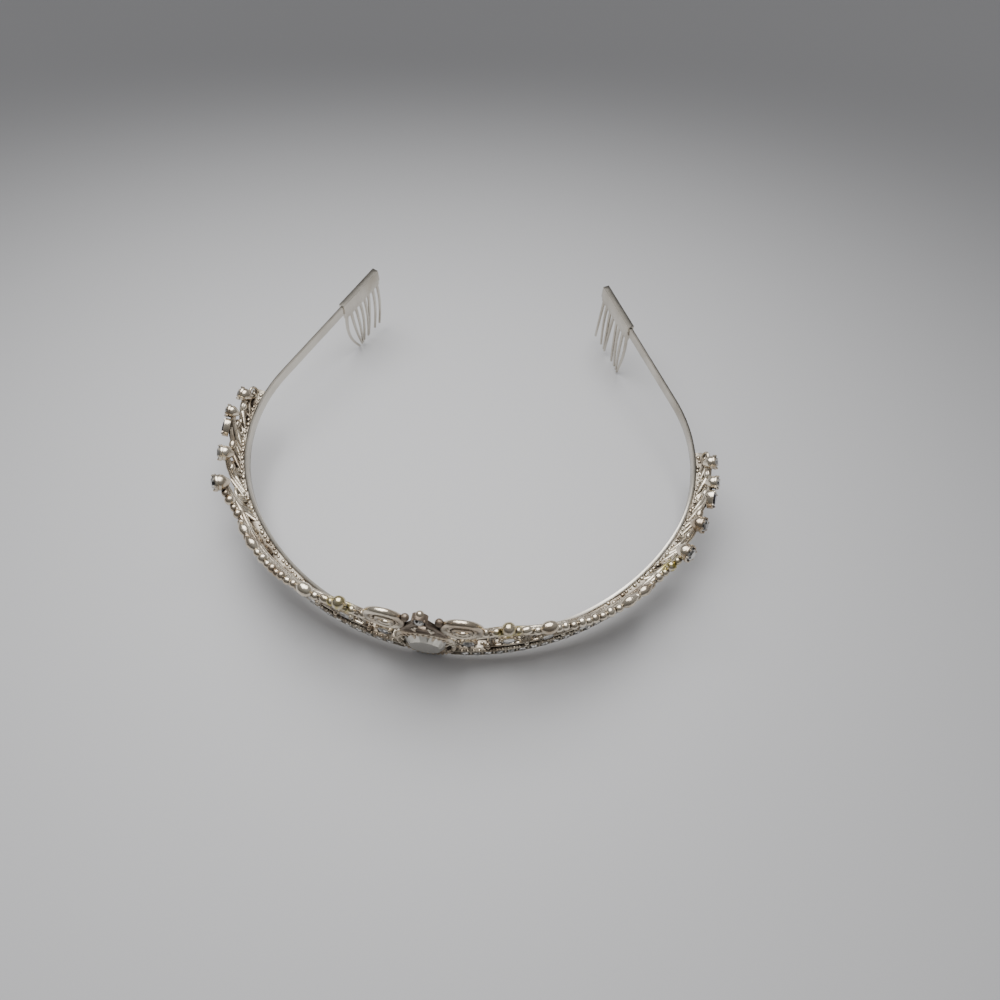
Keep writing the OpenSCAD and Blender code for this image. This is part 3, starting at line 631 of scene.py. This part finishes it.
def spun(bm, profile, axes):
    """Turns a profile of (radius, height) points about the z of the axes."""
    verts = [bm.verts.new(axes @ Vector((radius, 0, z))) for radius, z in profile]
    edges = [bm.edges.new(pair) for pair in zip(verts, verts[1:])]
    bmesh.ops.spin(bm, geom=verts + edges, cent=axes.translation, axis=axes.col[2].xyz, angle=2 * math.pi,
                   steps=CUP_STEPS, use_merge=True)


def stem(side, s, h, foot, apart):
    """One of the two wires that rise from the rail to a setting."""
    rows = []
    for u in STEM_ROWS:
        along = side * (foot + (s - foot) * u * (0.6 + 0.4 * u)) + apart * (1 - 0.5 * u)
        rows.append((along, ARCH_FOOT + (h - ARCH_FOOT) * u, WALL + 0.3 * u, WIRE * (1 - 0.15 * u)))
    return rows, False


def loose_wire(side, s, h, foot, start, share):
    """Wire beside a stem that rises only a share of the way and bulges out of the wall."""
    rows = []
    for u in STEM_ROWS:
        along = side * (foot + start * (1 - u) ** 2 + (s - foot) * share * u)
        rows.append((along, ARCH_FOOT + (h - ARCH_FOOT) * share * u,
                     WALL - 0.9 * (1 - u) ** 2 + 1.2 * math.sin(math.pi * u), 0.8 - 0.24 * u))
    return rows, False


bm = bmesh.new()
for side in SIDES:
    for s, h, half, foot in TIP_CUPS:
        profile = [(wide * half, z * half) for wide, z in CUP_PROFILE]
        profile += [(half - RIM, CUP_LIP * half), (half - RIM, CUP_BED * half), (0, CUP_BED * half)]
        spun(bm, profile, cup_axes(side, s, h))
bmesh.ops.remove_doubles(bm, verts=bm.verts, dist=0.01)
stems = []
for side in SIDES:
    for s, h, half, foot in TIP_CUPS:
        for k in range(TIP_CLAWS):
            turn = Matrix.Rotation(2 * math.pi * (k + 0.5) / TIP_CLAWS, 4, "Z")
            at = turn @ Vector((CLAW_IN * half, 0, CUP_LIP * half))
            bead(bm, cup_axes(side, s, h) @ Matrix.Translation(at), TIP_CLAW, up=1.3)
    stone_cup(bm, drop_axes(side), 2 * DROP_HALF, DROP_LENGTH, DROP_DEPTH, RIM, DROP_TAPER)
    for s, h, half, foot in TIP_CUPS:
        stems += [stem(side, s, h - STEM_SHORT, foot, apart * STEM_APART) for apart in SIDES]
    stems += [stem(side, DROP_PLACE, DROP_LEVEL, DROP_FOOT, apart * STEM_APART) for apart in SIDES]
    for s, h, half, foot in TIP_CUPS:
        stems += [loose_wire(side, s, h, foot, start, share) for start, share in LOOSE_WIRES]
    for i in range(STREAKS):
        middle = STREAK_FROM + STREAK_PITCH * i + cast.uniform(-1, 1)
        wide = cast.uniform(0.6, 0.95)
        stems.append(([(side * (middle + shift), h, WALL + out, share * wide)
                       for shift, h, out, share in STREAK_ROWS], False))
add_beads("stem_grains", [(side * s, h, WALL + 0.2, radius, 1.5) for side in SIDES
                          for s, h, radius in STEM_GRAINS], cast_silver)
add_piece("tip_cups", bm, cast_silver, "cast_silver", "crown_frame")
add_wires("tip_stems", stems, cast_silver)

# Stones. Cut glass with a foil back, each with a table, stars, kites and a pointed underside. They
# are pressed into their seats and held by the rim or by the beads beside them.

# Dark and light tones of each glass's painted reflections.
GLASS = (0.06, 0.058, 0.052, 1), (0.90, 0.88, 0.83, 1)
CENTRE_GLASS = (0.60, 0.57, 0.49, 1), (0.90, 0.86, 0.76, 1)
SMOKE = (0.03, 0.028, 0.035, 1), (0.26, 0.24, 0.27, 1)
GIRDLE_DROP = 0.2
PANEL_SET = CUP_DEPTH - GIRDLE_DROP
DROP_SET = DROP_DEPTH - GIRDLE_DROP
PEAK_SET = PEAK_CUP_DEPTH - GIRDLE_DROP
CENTRE_WIDE, CENTRE_LONG, CENTRE_CROWN, CENTRE_DEEP = 11.6, 13.4, 1.6, 1.48
ROW_CROWN, ROW_DEEP = 0.45, 0.65
TIP_CROWN, TIP_DEEP, TIP_SEAT = 0.32, 0.27, 0.25
PANEL_CROWN, DROP_CROWN, PEAK_CROWN = 0.55, 0.6, 0.7
TIP_NODES = [f"tip_stone_{word}_{i}" for word in ("left", "right") for i in (1, 2, 3, 4)]
PANEL_NODES = [f"panel_stone_{word}_{i}" for word in ("left", "right") for i in range(1, 7)]


def cut_stone(bm, axes, width, length, crown, deep, sides=8, table=0.56, taper=0.0):
    """Convex cut stone with its girdle in the xy of the axes and its table out along z, from rings of
    corners for the table, the kites, both halves of the girdle and the underside, and a point."""
    part = bmesh.new()
    rings = ((table, crown, 0.5), (0.83, 0.55 * crown, 0), (0.99, 0.04, 0.25), (0.99, 0.04, 0.75),
             (0.62, -0.45 * deep, 0.5))
    for scale, z, turn in rings:
        for j in range(sides):
            a = 2 * math.pi * (j + turn) / sides
            part.verts.new((scale * width / 2 * math.cos(a) * (1 - taper * math.sin(a)),
                            scale * length / 2 * math.sin(a), z))
    part.verts.new((0, 0, -deep))
    bmesh.ops.convex_hull(part, input=part.verts)
    bmesh.ops.dissolve_limit(part, verts=part.verts, edges=part.edges, angle_limit=math.radians(1))
    place_shape(bm, part, axes)


def add_stones(name, bm, material, slot, low, *nodes):
    """Piece of cut stones whose facets each get their own painted reflection, a brightness from low to 1."""
    draw = random.Random(len(bm.faces))
    painted_glint = bm.faces.layers.float.new("painted_glint")
    for face in bm.faces:
        face[painted_glint] = low + (1 - low) * draw.random()
    add_piece(name, bm, material, slot, *nodes, smooth=False)


def stone_material(name, dim, bright):
    """Foiled glass: each facet's painted reflection between two tones, under a clear gloss."""
    material, shader, place = new_material(name, Metallic=0.85, Coat_Weight=1.0, Coat_Roughness=0.02)
    cloud = place.attribute("painted_glint") * (0.8 + 0.4 * place.noise(700, 2))
    cloud.step(0.1, 0.9).blend(dim, bright).into(shader, "Base Color")
    (0.03 + 0.08 * place.noise(900)).into(shader, "Roughness")
    return material


glass = stone_material("stone_glass", *GLASS)
centre_glass = stone_material("stone_centre", *CENTRE_GLASS)
smoke = stone_material("stone_smoke", *SMOKE)

row_stones, tips, panels, drops = bmesh.new(), bmesh.new(), bmesh.new(), bmesh.new()
for s in row_places:
    at = on_rail(s, ROW_SEAT + STONE_GAP + ROW_DEEP, ROW_LEVEL) @ Matrix.Rotation(math.pi / 2, 4, "X")
    cut_stone(row_stones, at, ROW_STONE, ROW_STONE, ROW_CROWN, ROW_DEEP)
for side in SIDES:
    for s, h, half, foot in TIP_CUPS:
        wide, deep = 2 * (half - RIM - STONE_GAP), TIP_DEEP * half
        at = cup_axes(side, s, h) @ Matrix.Translation((0, 0, TIP_SEAT * half + deep))
        cut_stone(tips, at, wide, wide, TIP_CROWN * half, deep, sides=10)
    for s, h, half in PANEL_CUPS:
        at = facing(side * s, h, CUP_BACK) @ Matrix.Translation((0, 0, PANEL_SET))
        cut_stone(panels, at, 2 * half, 2 * half, PANEL_CROWN, PANEL_SET - CUP_FLOOR - STONE_GAP)
    at = drop_axes(side) @ Matrix.Translation((0, 0, DROP_SET))
    cut_stone(drops, at, 2 * DROP_HALF, DROP_LENGTH, DROP_CROWN, DROP_SET - CUP_FLOOR - STONE_GAP,
              taper=DROP_TAPER)
add_stones("row_stones_cut", row_stones, glass, "clear_stone", 0, "lower_row_stones")
add_stones("tip_stones_cut", tips, glass, "clear_stone", 0, *TIP_NODES)
add_stones("panel_stones_cut", panels, glass, "clear_stone", 0, *PANEL_NODES)
add_stones("drop_stones_cut", drops, smoke, "tinted_stone", 0, "drop_stone_left", "drop_stone_right")
bm = bmesh.new()
cut_stone(bm, facing(0, PEAK_LEVEL, PEAK_OUT + PEAK_SET), PEAK_STONE, PEAK_STONE, PEAK_CROWN,
          PEAK_SET - CUP_FLOOR - STONE_GAP)
add_stones("peak_stone_cut", bm, glass, "clear_stone", 0, "peak_stone")
bm = bmesh.new()
cut_stone(bm, facing(0, MEDAL_LEVEL, GIRDLE_OUT), CENTRE_WIDE, CENTRE_LONG, CENTRE_CROWN, CENTRE_DEEP,
          sides=16, table=0.72)
add_stones("centre_stone_cut", bm, centre_glass, "clear_stone", 0.2, "centre_stone")

# Combs. A folded sleeve of plated steel slides over each end of the band and is pinched tight; its
# web ends in eight slender teeth that curve in towards the head, with a round root between each
# two. The teeth have been bent into bunches by wear.

COMB_LENGTH, COMB_PAST, SLEEVE, SLEEVE_EDGE, COMB_STEPS = 19.0, 1.5, 0.6, 0.16, 14
COMB_START = BAND_HALF - COMB_LENGTH + COMB_PAST
WEB_HIGH, WEB_TOP, WEB_BACK, WEB_FRONT, WEB_EDGE = 2.2, -0.5, -0.05, 1.05, 0.2
WEB_LOW = -SLEEVE - WEB_HIGH
TEETH, TOOTH_FIRST, TOOTH_DROP, TOOTH_ROWS = 8, 1.0, 20.5, 8
TOOTH_ROOT, TOOTH_TIP, TOOTH_BEND = 0.8, 0.4, 64.9
TOOTH_WIRE, TOOTH_TAPER, TOOTH_RISE = 0.6, 0.18, 0.17
ROOT_WIRE, ROOT_HIGH, ROOT_SINK = 0.45, 0.9, 0.2
TOOTH_PITCH = (COMB_LENGTH - 2 * TOOTH_FIRST) / (TEETH - 1)
TOOTH_LEAN = {"left": (1.9, 1.0, -0.8, -2.4, -2.4, -4.4, -3.2, -2.8),
              "right": (-1.1, -2.6, -3.6, -3.7, -0.7, -2.4, -2.6, -0.6)}
TOOTH_BULGE = {"left": (-1.6, -0.3, 0.2, 0.5, 0.3, -0.4, 0.2, 0.4),
               "right": (-0.9, 0, 0.5, -0.3, 0.3, -0.2, 0.4, 0.3)}
TOOTH_CURVE = {"left": 0.1, "right": 0.45}


def on_leg(t, up, out):
    """Axes on the band's straight leg, its height named before its depth as on the wall."""
    return on_band(t, out, up)


sleeve_section = [(-SLEEVE, -SLEEVE), (-SLEEVE, BAND_HIGH + SLEEVE),
                  (BAND_THICK + SLEEVE, BAND_HIGH + SLEEVE), (BAND_THICK + SLEEVE, -SLEEVE)]
web_section = [(WEB_BACK, WEB_LOW), (WEB_BACK, WEB_TOP), (WEB_FRONT, WEB_TOP), (WEB_FRONT, WEB_LOW)]
for side, word in zip(SIDES, ("left", "right")):
    node = f"comb_{word}"
    ends = [on_band(side * (COMB_START + COMB_LENGTH * i / COMB_STEPS)) for i in range(COMB_STEPS + 1)]
    sleeve, web = sweep(ends, sleeve_section, SLEEVE_EDGE), sweep(ends, web_section, WEB_EDGE)
    # Sleeve and web carry the band metal's painted shade on their upward faces.
    add_piece(f"comb_sleeve_{word}", sleeve, band_metal, "comb_silver", node)
    add_piece(f"comb_web_{word}", web, band_metal, "comb_silver", node)
    teeth, roots = [], []
    for i, (lean, bulge) in enumerate(zip(TOOTH_LEAN[word], TOOTH_BULGE[word])):
        at = COMB_START + TOOTH_FIRST + i * TOOTH_PITCH
        reach = TOOTH_DROP + WEB_LOW + TOOTH_TIP + TOOTH_RISE * min(0, lean)
        tooth = []
        for u in [k / TOOTH_ROWS for k in range(TOOTH_ROWS + 1)]:
            up = WEB_LOW + TOOTH_ROOT - reach * u
            bow = TOOTH_CURVE[word] * (TOOTH_BEND - math.sqrt(TOOTH_BEND ** 2 - (up - WEB_LOW) ** 2))
            along = at + lean * u * u + bulge * math.sin(math.pi * u)
            tooth.append((side * along, up, BAND_THICK / 2 - bow, TOOTH_WIRE - TOOTH_TAPER * u))
        teeth.append((tooth, False))
        if i < TEETH - 1:
            roots.append(([(side * (at + TOOTH_PITCH * (0.5 - 0.5 * math.cos(a))),
                            WEB_LOW - ROOT_SINK + ROOT_HIGH * math.sin(a), BAND_THICK / 2, ROOT_WIRE)
                           for a in [math.pi * k / 6 for k in range(7)]], False))
    add_wires(f"comb_teeth_{word}", teeth + roots, band_metal, "comb_silver", node, axes=on_leg)

# Floor, light and camera. A pale table top under a large soft light from above and behind, with a
# dim room in front of the table. The camera looks steeply down at the front of the crown.

FLOOR_SIZE = 4
FLOOR_TONE, FLOOR_PALE = (0.62, 0.62, 0.63, 1), (0.66, 0.66, 0.67, 1)
ROOM_DIM, ROOM_LIT = (0.10, 0.10, 0.10, 1), (0.26, 0.26, 0.265, 1)
ROOM_STRENGTH, WINDOW_SIDE = 1.3, (0.1, 0.5, 0.85)
LAMP_PLACE, LAMP_AIM = (-0.035, 0.03, 0.27), (-0.01, -0.165, 0)
LAMP_SIZE, LAMP_POWER, LAMP_SPREAD = 0.28, 0.82, math.radians(148)
CAMERA_PLACE = (0.01525, -0.13993, 0.17549)
CAMERA_PITCH, CAMERA_HEADING, CAMERA_ROLL = 55.745, 2.545, 2.51
CAMERA_LENS, CAMERA_SENSOR, CAMERA_NEAR = 24.40, 36, 0.01

bpy.ops.mesh.primitive_plane_add(size=FLOOR_SIZE, location=(0, 0, 0))
floor = bpy.context.object
floor.name = "floor"
paint, shader, place = new_material("floor_paint", Roughness=0.6)
place.noise(3, 2).blend(FLOOR_TONE, FLOOR_PALE).into(shader, "Base Color")
floor.data.materials.append(paint)

world = bpy.data.worlds.new("soft_room")
bpy.context.scene.world = world
world.use_nodes = True
background = world.node_tree.nodes["Background"]
coords = world.node_tree.nodes.new("ShaderNodeTexCoord")
sky = Socket(world.node_tree, coords.outputs["Generated"])
toward = sky.node("ShaderNodeVectorMath", 1, {0: sky, 1: WINDOW_SIDE}, operation="DOT_PRODUCT")
toward.step(-0.3, 0.9).blend(ROOM_DIM, ROOM_LIT).into(background, "Color")
background.inputs["Strength"].default_value = ROOM_STRENGTH

lamp = bpy.data.lights.new("ceiling", "AREA")
lamp.size, lamp.energy, lamp.spread = LAMP_SIZE, LAMP_POWER, LAMP_SPREAD
light = bpy.data.objects.new("ceiling", lamp)
bpy.context.scene.collection.objects.link(light)
light.location = LAMP_PLACE
light.rotation_euler = (Vector(LAMP_AIM) - Vector(LAMP_PLACE)).to_track_quat("-Z", "Y").to_euler()

camera_data = bpy.data.cameras.new("camera")
camera_data.lens, camera_data.sensor_width = CAMERA_LENS, CAMERA_SENSOR
camera_data.clip_start = CAMERA_NEAR
camera = bpy.data.objects.new("camera", camera_data)
bpy.context.scene.collection.objects.link(camera)
bpy.context.scene.camera = camera
camera.matrix_world = (Matrix.Translation(CAMERA_PLACE)
                       @ Matrix.Rotation(math.radians(CAMERA_HEADING), 4, "Z")
                       @ Matrix.Rotation(math.radians(90 - CAMERA_PITCH), 4, "X")
                       @ Matrix.Rotation(math.radians(CAMERA_ROLL), 4, "Z"))
